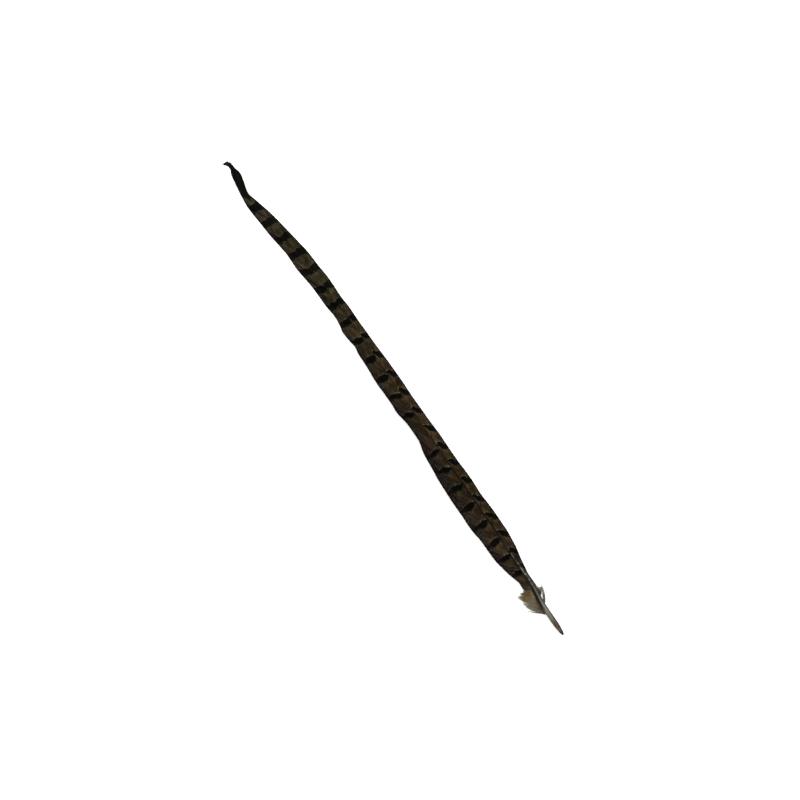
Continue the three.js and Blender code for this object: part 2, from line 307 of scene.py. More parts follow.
class Paint:
    """One material and short names for the nodes that make its pattern."""

    def __init__(self, name, roughness, specular):
        self.material = bpy.data.materials.new(name)
        self.material.use_nodes = True
        self.tree = self.material.node_tree
        self.shader = self.tree.nodes["Principled BSDF"]
        self.shader.inputs["Roughness"].default_value = roughness
        self.shader.inputs["Specular IOR Level"].default_value = specular

    def put(self, socket, value):
        """Links a node's output to the socket, or sets the socket to a constant."""
        if isinstance(value, bpy.types.NodeSocket):
            self.tree.links.new(value, socket)
        else:
            socket.default_value = value

    def read(self, name):
        """One of the mesh's own attributes, as a number."""
        node = self.tree.nodes.new("ShaderNodeAttribute")
        node.attribute_name = name
        return node.outputs["Fac"]

    def calc(self, operation, first, second=0.0):
        node = self.tree.nodes.new("ShaderNodeMath")
        node.operation = operation
        self.put(node.inputs[0], first)
        self.put(node.inputs[1], second)
        return node.outputs[0]

    def plus(self, first, second):
        return self.calc("ADD", first, second)

    def minus(self, first, second):
        return self.calc("SUBTRACT", first, second)

    def times(self, first, second):
        return self.calc("MULTIPLY", first, second)

    def step(self, value, low, high, start=0.0, end=1.0):
        """start below low, end above high, and a smooth change between them."""
        node = self.tree.nodes.new("ShaderNodeMapRange")
        node.interpolation_type = "SMOOTHSTEP"
        self.put(node.inputs["Value"], value)
        self.put(node.inputs["From Min"], low)
        self.put(node.inputs["From Max"], high)
        self.put(node.inputs["To Min"], start)
        self.put(node.inputs["To Max"], end)
        return node.outputs["Result"]

    def band(self, value, low, high, soft):
        """1 between low and high, fading over soft at both ends."""
        rise = self.step(value, low - soft, low)
        fall = self.step(value, high, high + soft, 1.0, 0.0)
        return self.times(rise, fall)

    def noise(self, scale, detail=2.0, stretch=(1.0, 1.0, 1.0)):
        """Noise over the object's own coordinates, in metres, about 0.5."""
        place = self.tree.nodes.new("ShaderNodeTexCoord")
        mapping = self.tree.nodes.new("ShaderNodeMapping")
        mapping.inputs["Scale"].default_value = stretch
        node = self.tree.nodes.new("ShaderNodeTexNoise")
        node.inputs["Scale"].default_value = scale
        node.inputs["Detail"].default_value = detail
        self.tree.links.new(place.outputs["Object"], mapping.inputs["Vector"])
        self.tree.links.new(mapping.outputs["Vector"], node.inputs["Vector"])
        return node.outputs[0]

    def blend(self, value, stops):
        """A blend of colours that changes with value through stops of (position, RGBA)."""
        node = self.tree.nodes.new("ShaderNodeValToRGB")
        elements = node.color_ramp.elements
        while len(elements) < len(stops):
            elements.new(0.5)
        for element, (position, shade) in zip(elements, stops):
            element.position = position
            element.color = shade
        self.put(node.inputs["Fac"], value)
        return node.outputs["Color"]

    def ramp(self, value, stops):
        """A colour that changes with value through stops of (position, red, green, blue)."""
        return self.blend(value, [(position, colour(*parts)) for position, *parts in stops])

    def curve(self, value, stops):
        """A number from 0 to 1 that changes with value through stops of (position, number)."""
        return self.blend(value, [(position, (*[number] * 3, 1.0)) for position, number in stops])

    def mix(self, share, first, second, blend="MIX"):
        """The first colour where share is 0, and the second where it is 1."""
        node = self.tree.nodes.new("ShaderNodeMix")
        node.data_type = "RGBA"
        node.blend_type = blend
        node.clamp_factor = True
        self.put(node.inputs[MIX_SHARE], share)
        self.put(node.inputs[MIX_FIRST], first)
        self.put(node.inputs[MIX_SECOND], second)
        return node.outputs[MIX_RESULT]

    def brighten(self, shade, factor):
        """shade times a number."""
        node = self.tree.nodes.new("ShaderNodeVectorMath")
        node.operation = "SCALE"
        self.put(node.inputs[0], shade)
        self.put(node.inputs["Scale"], factor)
        return node.outputs[0]

    def bump(self, height, strength, distance):
        """Fine relief. distance is in metres."""
        node = self.tree.nodes.new("ShaderNodeBump")
        node.inputs["Strength"].default_value = strength
        node.inputs["Distance"].default_value = distance
        self.put(node.inputs["Height"], height)
        self.tree.links.new(node.outputs["Normal"], self.shader.inputs["Normal"])

    def finish(self, shade):
        """The material, in the given shade."""
        self.put(self.shader.inputs["Base Color"], shade)
        return self.material


# Half a bar's length as a share of a cell, in the basal and in the distal part of the feather.
HALF_BARS = (0.19, 0.21)

# What differs between the two vanes' colours. The cells' colours run from one bar to the next,
# the bars' curves outwards, and brightness and blade from the quill's end to the tip. The margin
# starts at an outward share, in the basal and in the distal part. The blade starts at a share
# of the length, beside the shaft and at the edge. The foot's shade fades between two shares of
# the length, from a first strength to a second.
BARRED_LOOKS = {
    LEFT: {
        "basal_cell": [
            (0, 67, 66, 55), (0.06, 64, 60, 46), (0.12, 46, 38, 26), (0.45, 43, 33, 21),
            (0.8, 50, 42, 27), (1, 52, 48, 36),
        ],
        "distal_cell": [
            (0, 60, 60, 47), (0.12, 51, 48, 34), (0.5, 47, 43, 31), (0.8, 51, 48, 37),
            (1, 59, 59, 45),
        ],
        "brightness": [
            (0.16, 0.97), (0.28, 0.8), (0.43, 0.8), (0.5, 1), (0.6, 0.88), (0.72, 0.81), (0.8, 0.97),
        ],
        "basal_bar_below": [(0, 0.3), (0.1, 0.75), (0.24, 1), (0.4, 0.95), (0.6, 0.8), (0.85, 0.45)],
        "basal_bar_above": [(0, 0.45), (0.3, 0.85), (0.6, 0.75), (0.85, 0.45)],
        "distal_bar": [(0, 0.88), (0.3, 0.9), (0.7, 0.95), (1, 1.1)],
        "low_edge_softness": 0.07,
        "margin": colour(29, 25, 22),
        "margin_start": (0.42, 0.9),
        "foot": (0.1, 0.14, 0.65, 0),
        "foot_shade": colour(40, 33, 26),
        "blade_start": (0.925, 0.933),
        "blade": [
            (0.925, 15, 15, 9), (0.955, 16, 12, 15), (0.972, 9, 8, 9), (0.99, 14, 15, 16),
            (0.998, 46, 48, 48),
        ],
    },
    RIGHT: {
        "basal_cell": [
            (0, 74, 73, 61), (0.05, 68, 64, 50), (0.11, 50, 40, 26), (0.45, 44, 33, 20),
            (0.8, 51, 42, 27), (1, 55, 51, 39),
        ],
        "distal_cell": [
            (0, 60, 59, 46), (0.12, 51, 48, 32), (0.5, 47, 43, 28), (0.8, 52, 49, 33),
            (1, 58, 57, 43),
        ],
        "brightness": [(0.12, 0.68), (0.2, 0.85), (0.3, 0.98), (0.6, 0.96), (0.78, 0.83), (0.9, 0.73)],
        "basal_bar_below": [(0, 0), (0.12, 0.3), (0.26, 1), (0.6, 1), (0.85, 0.65), (1, 0.4)],
        "basal_bar_above": [(0, 0.2), (0.14, 0.6), (0.28, 0.9), (0.6, 0.9), (0.85, 0.7), (1, 0.45)],
        "distal_bar": [(0, 0.88), (0.4, 0.9), (0.8, 1), (1, 1.1)],
        "low_edge_softness": 0.03,
        "margin": colour(28, 24, 19),
        "margin_start": (0.7, 0.7),
        "foot": (0.13, 0.16, 0.6, 0),
        "foot_shade": colour(47, 44, 37),
        "blade_start": (0.922, 0.922),
        "blade": [
            (0.925, 15, 15, 9), (0.945, 15, 15, 9), (0.958, 19, 19, 11), (0.97, 12, 11, 10),
            (0.99, 14, 15, 16), (0.998, 46, 48, 48),
        ],
    },
}


def half_bars(paint, look):
    """How far the bars reach below and above their middles, as shares of a cell."""
    y_share = paint.read("y_share")
    outward = paint.read("outward")
    size = paint.step(y_share, 0.6, 0.9, *HALF_BARS)
    longer_last_bar = paint.step(y_share, 0.884, 0.89, 0, 0.05)
    size = paint.plus(size, longer_last_bar)
    distal = paint.step(y_share, 0.5, 0.8)
    distal_bar = paint.curve(outward, look["distal_bar"])
    halves = []
    for key in ("basal_bar_below", "basal_bar_above"):
        half = paint.mix(distal, paint.curve(outward, look[key]), distal_bar)
        halves.append(paint.times(half, size))
    return halves


def bar_places(paint, look):
    """Where the black bars are, from 0 to 1, and how far through a cell a point is."""
    y_share = paint.read("y_share")
    thread = paint.minus(paint.read("thread"), 0.5)
    ragged = paint.times(paint.minus(paint.noise(260, 3), 0.5), 0.26)
    stepped = paint.times(thread, 0.05)
    phase = paint.plus(paint.read("phase"), paint.plus(ragged, stepped))
    beyond_bar = paint.minus(paint.calc("FRACT", paint.plus(phase, 0.5)), 0.5)

    below, above = half_bars(paint, look)
    teeth = paint.times(thread, 0.1)
    low_edge = paint.plus(beyond_bar, paint.plus(below, teeth))
    high_edge = paint.minus(beyond_bar, above)
    soft = paint.step(y_share, 0.45, 0.6, look["low_edge_softness"], 0.03)
    rise = paint.step(low_edge, -0.05, soft)
    fall = paint.step(high_edge, -0.02, 0.015, 1, 0)
    past_foot = paint.step(y_share, 0.116, 0.122)
    bar = paint.times(paint.times(rise, fall), past_foot)

    cell_length = paint.minus(1, paint.plus(below, above))
    past_bar = paint.minus(paint.calc("FRACT", phase), above)
    cell = paint.calc("DIVIDE", past_bar, cell_length)
    without_cream_line = paint.step(paint.read("outward"), 0.5, 0.8, 0, 0.12)
    return bar, paint.calc("MAXIMUM", cell, without_cream_line)


def cell_shade(paint, look, cell):
    """Tan, olive and rust between two bars, with a cream line just past each bar."""
    basal = paint.ramp(cell, look["basal_cell"])
    distal = paint.ramp(cell, look["distal_cell"])
    y_share = paint.read("y_share")
    shade = paint.mix(paint.step(y_share, 0.45, 0.8), basal, distal)
    shade = paint.mix(paint.step(y_share, 0.8, 0.92, 0, 0.4), shade, colour(52, 49, 42))
    tints = [
        (0.38, (0.92, 0.95, 0.72, 1)), (0.49, (0.96, 0.93, 0.9, 1)),
        (0.57, (1, 0.88, 0.92, 1)), (0.67, (1, 0.83, 0.7, 1)),
    ]
    shade = paint.mix(1, shade, paint.blend(paint.noise(230, 2), tints), "MULTIPLY")
    patches = paint.step(paint.noise(420, 4, (1, 0.35, 1)), 0.35, 0.68, 0.7, 1.38)
    shade = paint.brighten(shade, patches)
    return paint.brighten(shade, paint.curve(y_share, look["brightness"]))


def bar_shades(paint):
    """The bars' black, a little green or purple, browner towards the edge and paler distally."""
    blacks = [(0.4, 5, 7, 4), (0.5, 7, 5, 3), (0.6, 7, 5, 5)]
    shade = paint.ramp(paint.noise(160, 2), blacks)
    brown = paint.step(paint.read("outward"), 0.5, 0.9, 0, 0.5)
    shade = paint.mix(brown, shade, colour(20, 12, 8))
    return paint.brighten(shade, paint.step(paint.read("y_share"), 0.6, 0.85, 1, 1.9))


def dusky_margin(paint, look, shade):
    """The given shade with freckles, and a freckled dusk along the vane's edge."""
    freckles = paint.noise(1300, 3, (1, 0.5, 1))
    start = paint.step(paint.read("y_share"), 0.42, 0.75, *look["margin_start"])
    uneven = paint.step(freckles, 0.3, 0.7, -0.18, 0.18)
    uneven = paint.plus(paint.read("outward"), uneven)
    margin = paint.step(uneven, start, paint.plus(start, 0.3))
    dusk = paint.brighten(look["margin"][:3], paint.step(freckles, 0.4, 0.62, 0.3, 2.2))
    shade = paint.mix(paint.times(margin, 0.9), shade, dusk)
    return paint.brighten(shade, paint.step(freckles, 0.36, 0.5, 0.55, 1.08))


def faded_bars(paint, bar):
    """The left vane's bars, a little fainter towards its edge."""
    start = paint.step(paint.read("y_share"), 0.2, 0.8, 0.5, 1.05)
    fade = paint.step(paint.read("outward"), start, paint.plus(start, 0.3), 1, 0.9)
    return paint.times(bar, fade)


def ruffle(paint, shade, bar, bar_shade):
    """The left vane's smeared ninth bar, and the reddish flush round it."""
    phase = paint.read("phase")
    smear = [(0.2, 0.9), (0.32, 0.1), (0.52, 0.15), (0.66, 0.9), (0.95, 0.7)]
    smear = paint.curve(paint.read("outward"), smear)
    smeared = paint.band(phase, RUFFLED_BAR - 0.35, RUFFLED_BAR + 0.35, 0.1)
    bar = paint.times(bar, paint.mix(smeared, WHITE, smear))
    bar_shade = paint.mix(smeared, bar_shade, colour(25, 14, 13))
    flushed = paint.band(phase, RUFFLED_BAR - 0.6, RUFFLED_BAR + 0.3, 0.2)
    flushed = paint.times(flushed, 0.65)
    return paint.mix(flushed, shade, colour(40, 26, 21)), bar, bar_shade


def shaded_by_shaft(paint, shade):
    """The left vane's shade, darker beside the shaft near the vane's foot: partly the barbs' dark
    bases, partly painted shadow of the shaft.
    """
    beside = paint.step(paint.read("outward"), 0, 0.12, 0.85, 0)
    near_foot = paint.step(paint.read("y_share"), 0.17, 0.2, 1, 0)
    return paint.mix(paint.times(beside, near_foot), shade, colour(16, 13, 8))


def dark_blade(paint, look, shade):
    """The dark blade past the last bar, over the given shade."""
    y_share = paint.read("y_share")
    blade = paint.ramp(y_share, look["blade"])
    start = paint.step(paint.read("outward"), 0, 1, *look["blade_start"])
    past_start = paint.minus(y_share, start)
    return paint.mix(paint.step(past_start, -0.003, 0.003), shade, blade)


def single_barbs(paint, shade):
    """Lighter and darker barbs with paler ridges, and dark free tips."""
    tip_shade = paint.step(paint.read("y_share"), 0.45, 0.7, 0.35, 0.7)
    fringe = paint.step(paint.read("outward"), 0.86, 1, 1, tip_shade)
    strands = paint.step(paint.read("thread"), 0.1, 0.9, 0.48, 1.3)
    ridge = paint.step(paint.read("ridge"), 0, 1, 0.9, 1.12)
    shade = paint.brighten(shade, paint.times(fringe, strands))
    return paint.brighten(shade, ridge)


BARBULE_PITCH = 0.22  # in millimetres


def barred_barbs(name, side):
    """Barbs with black bars, a dusky margin, and a dark blade at the feather's tip."""
    paint = Paint(name, roughness=0.8, specular=0.02)
    look = BARRED_LOOKS[side]
    bar, cell = bar_places(paint, look)
    shade = dusky_margin(paint, look, cell_shade(paint, look, cell))
    bar_shade = bar_shades(paint)
    if side == LEFT:
        bar = faded_bars(paint, bar)
        shade, bar, bar_shade = ruffle(paint, shade, bar, bar_shade)
        shade = shaded_by_shaft(paint, shade)
    foot = paint.step(paint.read("y_share"), *look["foot"])
    shade = paint.mix(foot, shade, look["foot_shade"])
    shade = paint.mix(bar, shade, bar_shade)
    shade = dark_blade(paint, look, shade)
    shade = single_barbs(paint, shade)
    turns = paint.times(paint.read("run"), 2 * math.pi / BARBULE_PITCH)
    paint.bump(paint.calc("SINE", turns), strength=0.25, distance=0.00002)
    return paint.finish(shade)


def long_grain(paint, strength):
    """Relief of fine lines along the shaft."""
    lines = paint.noise(900, 3, (1, 0.04, 1))
    paint.bump(lines, strength, distance=0.0001)


def spotted_horn(paint, shade):
    """The given shade, mottled, with speckles from the tufts on, and past them bold pale flecks that
    are partly painted glints.
    """
    y_share = paint.read("y_share")
    mottle = paint.step(paint.noise(600, 4, (1, 0.25, 1)), 0.3, 0.7, 0.72, 1.2)
    shade = paint.brighten(shade, mottle)
    speckle = paint.step(paint.noise(1500, 2, (1, 0.3, 1)), 0.4, 0.55, 0.5, 1.2)
    shade = paint.mix(paint.step(y_share, 0.06, 0.085), shade, paint.brighten(shade, speckle))
    # Bold pale flecks past the horn: partly the rachis's own pale specks, partly painted glints.
    flecks_and_glints = paint.step(paint.noise(1100, 2, (1, 0.25, 1)), 0.46, 0.56, 0.3, 5.3)
    return paint.mix(horn_end(paint), shade, paint.brighten(shade, flecks_and_glints))


def horn_end(paint):
    """0 on the quill and 1 where the horn thins into the rachis."""
    return paint.step(paint.read("y_share"), 0.095, 0.125)


def shaded_sides(paint, shade):
    """The given shade with painted shade darkening both flanks, and a painted shadow on the left from
    the tufts on.
    """
    turn = paint.read("turn")
    end = horn_end(paint)
    # Painted shade: both flanks of the round shaft are darkened, the right one most on the rachis.
    flank_start = paint.minus(0.2, paint.times(end, 0.1))
    flank_end = paint.plus(flank_start, 0.5)
    flank_shade = paint.minus(0.4, paint.times(end, 0.32))
    right_flank = paint.step(turn, flank_start, flank_end, 1, flank_shade)
    left_flank = paint.step(turn, -0.95, -0.6, 0.75, 1)
    shade = paint.brighten(shade, paint.times(right_flank, left_flank))
    # Painted shadow down the shaft's left side, from the tufts on.
    left_side = paint.step(turn, -0.45, 0, 1, 0)
    past_quill = paint.step(paint.read("y_share"), 0.042, 0.065)
    shadow = paint.times(left_side, past_quill)
    return paint.mix(shadow, shade, colour(16, 12, 7))


def horn():
    """The quill's grey-beige horn, stained at its end, and the pale start of the rachis."""
    paint = Paint("horn", roughness=0.5, specular=0.12)
    y_share = paint.read("y_share")
    shade = paint.ramp(
        y_share,
        [
            (0, 22, 21, 13), (0.006, 40, 38, 27), (0.011, 86, 84, 72), (0.0155, 78, 60, 38),
            (0.022, 70, 60, 42), (0.029, 80, 72, 57), (0.035, 98, 94, 83), (0.055, 104, 102, 92),
            (0.075, 88, 86, 76), (0.1, 66, 65, 58), (0.13, 52, 50, 44), (0.165, 40, 38, 33),
        ],
    )
    right_side = paint.step(paint.read("turn"), 0, 0.4)
    stain = paint.times(paint.band(y_share, 0.0145, 0.0185, 0.002), right_side)
    shade = paint.mix(paint.times(stain, 0.7), shade, colour(62, 34, 16))
    shade = shaded_sides(paint, spotted_horn(paint, shade))
    long_grain(paint, 0.35)
    return paint.finish(shade)


def dark_rachis():
    """The olive-brown rachis, a little darker where the vanes' bars meet it."""
    paint = Paint("dark_rachis", roughness=0.7, specular=0.03)
    y_share = paint.read("y_share")
    shade = paint.ramp(
        y_share,
        [
            (0.165, 44, 42, 36), (0.2, 13, 10, 6), (0.34, 14, 11, 6), (0.42, 23, 17, 9),
            (0.55, 43, 36, 24), (0.9, 43, 37, 25), (0.925, 9, 9, 7),
        ],
    )
    blacks = [(0.25, 10, 8, 5), (0.55, 11, 10, 6), (0.7, 9, 8, 6)]
    past_bar = paint.calc("FRACT", paint.read("phase"))
    from_middle = paint.calc("ABSOLUTE", paint.minus(past_bar, 0.5))
    from_bar = paint.minus(0.5, from_middle)
    half_bar = paint.step(y_share, 0.3, 0.8, 0.1, 0.18)
    bar = paint.step(from_bar, paint.minus(half_bar, 0.04), half_bar, 1, 0)
    shade = paint.mix(bar, shade, paint.ramp(y_share, blacks))
    long_grain(paint, 0.3)
    return paint.finish(shade)


def down(name, low_shades, high_shades):
    """Downy strands that change colour outwards, and from low to high on the tuft."""
    paint = Paint(name, roughness=0.85, specular=0.04)
    outward = paint.read("outward")
    height = paint.step(paint.read("y_share"), 0.068, 0.088)
    shade = paint.mix(height, paint.ramp(outward, low_shades), paint.ramp(outward, high_shades))
    strands = paint.step(paint.read("thread"), 0, 1, 0.7, 1.3)
    return paint.finish(paint.brighten(shade, strands))


# ---- The vanes ----


def vane_surface(side, y, share):
    """Points of a vane's sheet at y, and the directions straight off it.

    share is 0 at the shaft's side and 1 at the vane's edge. The barbs grow from the shaft's
    sides near the quill, and further on more and more from its top, so that they hide it.
    """
    middle = along(SHAFT_LINE, y)
    section = along(SHAFT_SECTION, y)
    edge = along(EDGES[side], y)
    way = unit(edge - middle)
    past_quill = smooth_step(60, 110, y)
    hidden = 0.15 * past_quill + 0.85 * smooth_step(150, 330, y)
    root = middle + way * section[..., :1] * (0.38 - 0.33 * hidden)[..., None]
    root[..., 1] += section[..., 1] * (0.5 * past_quill + 0.1 * hidden)
    span = edge - root
    bulge = VANE_CROWN * np.linalg.norm(span, axis=-1)
    point = root + span * share[..., None]
    point[..., 1] += 4 * bulge * share * (1 - share)
    rise = span[..., 1] + 4 * bulge * (1 - 2 * share)
    return point, unit(np.stack([-rise * side, span[..., 0] * side], axis=-1))


def bar_phase(side, y, x):
    """Whole numbers on the middle of each bar, and even shares of a cell between them."""
    bars = [BARS[side][0] - BAR_PITCH, *BARS[side], BARS[side][-1] + BAR_PITCH]
    slants = along(BAR_SLANTS[side], bars)[:, 0]
    middle = (along(SHAFT_LINE, y)[..., 0] + along(EDGES[side], y)[..., 0]) / 2
    outward = side * (x - middle)
    phase = np.zeros(y.shape)
    line = bars[0] + slants[0] * outward
    for bar, slant in zip(bars[1:], slants[1:]):
        next_line = np.maximum(bar + slant * outward, line + CLOSEST_BARS)
        pitch = np.minimum(next_line - line, BAR_PITCH)
        phase += np.clip((y - line) / pitch, 0, 0.5)
        phase += np.clip((y - next_line) / pitch + 0.5, 0, 0.5)
        line = next_line
    return phase


def splits(roots, places):
    """How far each barb's tip leans along the vane, so that barbs part at the given places."""
    lean = np.zeros(len(roots))
    ends = [roots[0], *[y for y, _ in places], roots[-1]]
    gaps = [0, *[gap for _, gap in places], 0]
    for k in range(len(ends) - 1):
        inside = (roots >= ends[k]) & (roots <= ends[k + 1])
        share = (roots[inside] - ends[k]) / (ends[k + 1] - ends[k])
        lean[inside] = gaps[k] * (1 - share) ** 3 - gaps[k + 1] * share**3
    return lean


def random_splits(start, end, rng):
    """Small splits of different widths, at uneven places."""
    places = []
    y = start + rng.uniform(4, 14)
    while y < end:
        places.append((y, rng.uniform(0.004, 0.02)))
        y += rng.uniform(8, 30)
    return places


def clumped(count, rng):
    """A number about 0.5 for each barb, alike in barbs that lie close together."""
    fine = np.convolve(rng.normal(0, 1, count + 4), np.hanning(7)[1:-1], "valid")
    broad = np.convolve(rng.normal(0, 1, count + 20), np.hanning(23)[1:-1], "valid")
    return 0.5 + 0.14 * (fine / fine.std() + broad / broad.std())


def barb_lines(roots, advance, share):
    """How far along the feather each barb is at each share of its way out."""
    bend = (1 - BARB_BEND) * share + BARB_BEND * share**2
    return roots[:, None] + advance[:, None] * bend


def ripple(side, y):
    """The gentle waves of a vane's edge, calmer where it lies on the surface."""
    waves = np.sin(y / 9.5 + side) + 0.7 * np.sin(y / 4.1 + 2 * side)
    calm = 1 - 0.7 * smooth_step(340, 380, y)
    return RIPPLE * waves * calm


def barb_widths(side, roots):
    """The vane's width at each barb, and how far along the feather the barb leans over it."""
    beside = roots + WIDTH_AHEAD
    width = np.abs(along(EDGES[side], beside)[:, 0] - along(SHAFT_LINE, beside)[:, 0])
    advance = along(BARB_LEANS, roots)[:, 0] * width
    return width, np.minimum(advance, (VANE_TIP - roots) * MOST_ADVANCE)


def web_spacing(roots, advance, station):
    """The wider of the gaps to a barb's two neighbours, at each of its stations."""
    steps = np.diff(barb_lines(roots, advance, station), axis=0)
    after = np.vstack([steps, steps[-1:]])
    before = np.vstack([steps[:1], steps])
    return np.maximum(np.maximum(after, before), CLOSEST_BARBS)


def vane(name, side):
    """One vane, made of single barbs, each a web with a ridge on top and a keel underneath."""
    rng = np.random.default_rng(SEEDS[name])
    roots = np.arange(VANE_FOOT, VANE_TIP - LAST_ROOT_GAP, BARB_SPACING)
    count = len(roots)
    width, advance = barb_widths(side, roots)
    places = sorted(random_splits(*SPLIT_STRETCH, rng) + NOTCHES[side])
    parting = splits(roots, places)
    free_tip = FRINGE * smooth_step(0.5, 6, width)
    reach = 1 + (free_tip + rng.normal(0, FRINGE_SPREAD, count)) / width
    thread = clumped(count, rng)

    station = np.linspace(0, 1, BARB_STATIONS)[None, :]
    share = station * reach[:, None]
    line = barb_lines(roots, advance, share)
    strayed = rng.normal(0, BARB_UNEVENNESS, count)[:, None]
    line += parting[:, None] * share**3 + strayed * share
    taper = 1 - 0.12 * smooth_step(0.93, 1.0, station)
    half_web = 0.5 * web_spacing(roots, advance, station) * BARB_OVERLAP * taper

    # The four corners of a barb's section are its web's lower edge, its ridge, its web's upper
    # edge and its keel.
    y = line[:, :, None] + half_web[:, :, None] * np.array([-1, 0, 1, 0])
    y = np.minimum(y, HOOK_END)
    share = np.broadcast_to(share[:, :, None], y.shape)
    section = np.array([-WEB_TWIST, BARB_RIDGE, WEB_TWIST, -BARB_KEEL])
    lift = np.broadcast_to(taper, line.shape)[:, :, None] * section
    lift = lift + rng.normal(0, BARB_UNEVENNESS, count)[:, None, None] * share
    lift = lift + ripple(side, y) * share**2
    point, off = vane_surface(side, y, share)
    point = point + off * lift[..., None]
    point[..., 1] = np.maximum(point[..., 1], LEAST_HEIGHT)
    rings = np.stack([point[..., 0], y, point[..., 1]], axis=-1)

    steps = np.linalg.norm(np.diff(rings[:, :, 1], axis=1), axis=-1)
    run = np.concatenate([np.zeros((count, 1)), np.cumsum(steps, axis=1)], axis=1)
    attributes = {
        "phase": bar_phase(side, y, point[..., 0]),
        "outward": share,
        "y_share": y / LENGTH,
        "thread": thread[:, None, None],
        "ridge": np.array([0.0, 1.0, 0.0, 0.0]),
        "run": run[:, :, None] + half_web[:, :, None] * np.array([1, 0, 1, 0]),
    }
    return tubes(name, rings, barred_barbs(name + "_barbs", side), attributes)


# ---- The shaft ----

SHAFT_SIDES = 36
RACHIS_START = 83.5  # the pale horn ends here
BENT_TIP = 490  # the shaft bends sharply past this
BENT_TIP_STATIONS = 12
SHAFT_STRETCHES = [(0, 12, 0.5), (12, 60, 1.0), (60, BENT_TIP, 2.0)]  # (from, to, pitch)
SQUARENESS = 0.9  # 0 for a rachis that stays round
GROOVE_DEPTH = 0.3  # as a share of half the rachis's depth
GROOVE_WIDTH = 0.3  # as a share of half its width

# The quill's end is drawn into a small pit, where it grew from the skin. The rings of the pit,
# from its bottom: (size as a share of the quill's end, depth).
QUILL_PIT = [(0.25, 0.9), (0.45, 0.4), (0.7, -0.1)]


def shaft_rings():
    """The shaft's rings and how far to the right each point lies, from -1 to 1."""
    stretches = [np.arange(*stretch) for stretch in SHAFT_STRETCHES]
    y = np.concatenate([*stretches, np.linspace(BENT_TIP, HOOK_END, BENT_TIP_STATIONS)])
    middle = along(SHAFT_LINE, y)
    section = along(SHAFT_SECTION, y)
    angle = 2 * math.pi * np.arange(SHAFT_SIDES) / SHAFT_SIDES
    power = 2 / (2 + SQUARENESS * smooth_step(35, 90, y)[:, None])
    across = np.sign(np.cos(angle)) * np.abs(np.cos(angle)) ** power
    up = np.sign(np.sin(angle)) * np.abs(np.sin(angle)) ** power
    groove = np.exp(-((across / GROOVE_WIDTH) ** 2)) * (up < 0)
    up = up + GROOVE_DEPTH * smooth_step(50, 100, y)[:, None] * groove
    x = middle[:, :1] + across * section[:, :1] / 2
    z = middle[:, 1:] + up * section[:, 1:] / 2
    return np.stack([x, np.broadcast_to(y[:, None], x.shape), z], axis=-1)[None], across


def with_pit(rings):
    """The same rings after those of the pit in the quill's end."""
    pit = rings[:, :1].repeat(len(QUILL_PIT), axis=1)
    for k, (size, depth) in enumerate(QUILL_PIT):
        centre = pit[:, k].mean(axis=1, keepdims=True)
        pit[:, k] = centre + (pit[:, k] - centre) * size
        pit[:, k, :, 1] += depth
    return np.concatenate([pit, rings], axis=1)


def shaft():
    """The quill and rachis: round, then squarer with a groove underneath."""
    rings, across = shaft_rings()
    rings = with_pit(rings)
    ring_y = rings[..., 1]
    axis_x = along(SHAFT_LINE, ring_y)[..., 0]
    attributes = {
        "y_share": ring_y / LENGTH,
        "turn": np.concatenate([np.zeros((len(QUILL_PIT), SHAFT_SIDES)), across])[None],
        "phase": (bar_phase(LEFT, ring_y, axis_x) + bar_phase(RIGHT, ring_y, axis_x)) / 2,
    }
    piece = tubes("horn_shaft", rings, horn(), attributes, aspect=1)
    piece.data.materials.append(dark_rachis())
    quad_y = np.repeat(ring_y[0, :-1, 0], SHAFT_SIDES)
    is_rachis = np.concatenate([quad_y > RACHIS_START, [False, True]])
    piece.data.polygons.foreach_set("material_index", is_rachis.astype(np.int32))
    return piece


# ---- The down ----


STRAND_SIDES = 3
STEM_STATIONS = 8
STEM_THINNEST = 0.05  # half a downy barb's width at its tip
STEM_DEPTHS = (0.11, 0.04)  # half its depth at its root and at its tip
BARBULE_LENGTH = 1.5
BARBULE_RADII = [0.055, 0.045, 0.02]  # at its root, middle and tip
DOWN_LEAST_HEIGHT = 0.1


def strand_rings(paths, widths, depths):
    """Rings round many lines, shaped (line, station, side, xyz)."""
    ahead = unit(np.gradient(paths, axis=1))
    beside = np.cross(ahead, np.array([0.0, 0.0, 1.0]))
    beside /= np.maximum(np.linalg.norm(beside, axis=-1, keepdims=True), 1e-6)
    above = np.cross(beside, ahead)
    rings = []
    for k in range(STRAND_SIDES):
        angle = 2 * math.pi * k / STRAND_SIDES + math.pi / 2
        across = math.cos(angle) * beside * widths[..., None]
        up = math.sin(angle) * above * depths[..., None]
        rings.append(paths + across + up)
    return np.stack(rings, axis=2)


def barbule_lines(stems, per_stem, rng):
    """Barbules along each stem, to both sides by turns, and how far up the stem each one is."""
    count, stations, _ = stems.shape
    share = rng.uniform(0.04, 1.0, (count, per_stem))
    spot = share * (stations - 1)
    i = np.clip(spot.astype(int), 0, stations - 2)
    row = np.arange(count)[:, None]
    ahead = stems[row, i + 1] - stems[row, i]
    start = stems[row, i] + ahead * (spot - i)[..., None]
    ahead = unit(ahead)
    sideways = np.stack([ahead[..., 1], -ahead[..., 0], np.zeros(share.shape)], axis=-1)
    hand = np.where(np.arange(per_stem) % 2 == 0, 1.0, -1.0)[None, :, None]
    spread = rng.uniform(0.35, 0.9, (count, per_stem, 1))
    lean = rng.normal(0, 0.2, (count, per_stem, 1)) * np.array([0.0, 0.0, 1.0])
    way = unit(ahead + hand * spread * sideways + lean)
    size = BARBULE_LENGTH * (1 - 0.45 * share) * rng.uniform(0.6, 1.15, share.shape)
    points = []
    for step in (0.0, 0.5, 1.0):
        curl = rng.normal(0, 0.12, (count, per_stem, 3)) * step
        point = start + (way + 0.35 * step * ahead + curl) * (size * step)[..., None]
        points.append(point.reshape(-1, 3))
    first, middle, last = points
    return bends(first, 2 * middle - (first + last) / 2, last), share


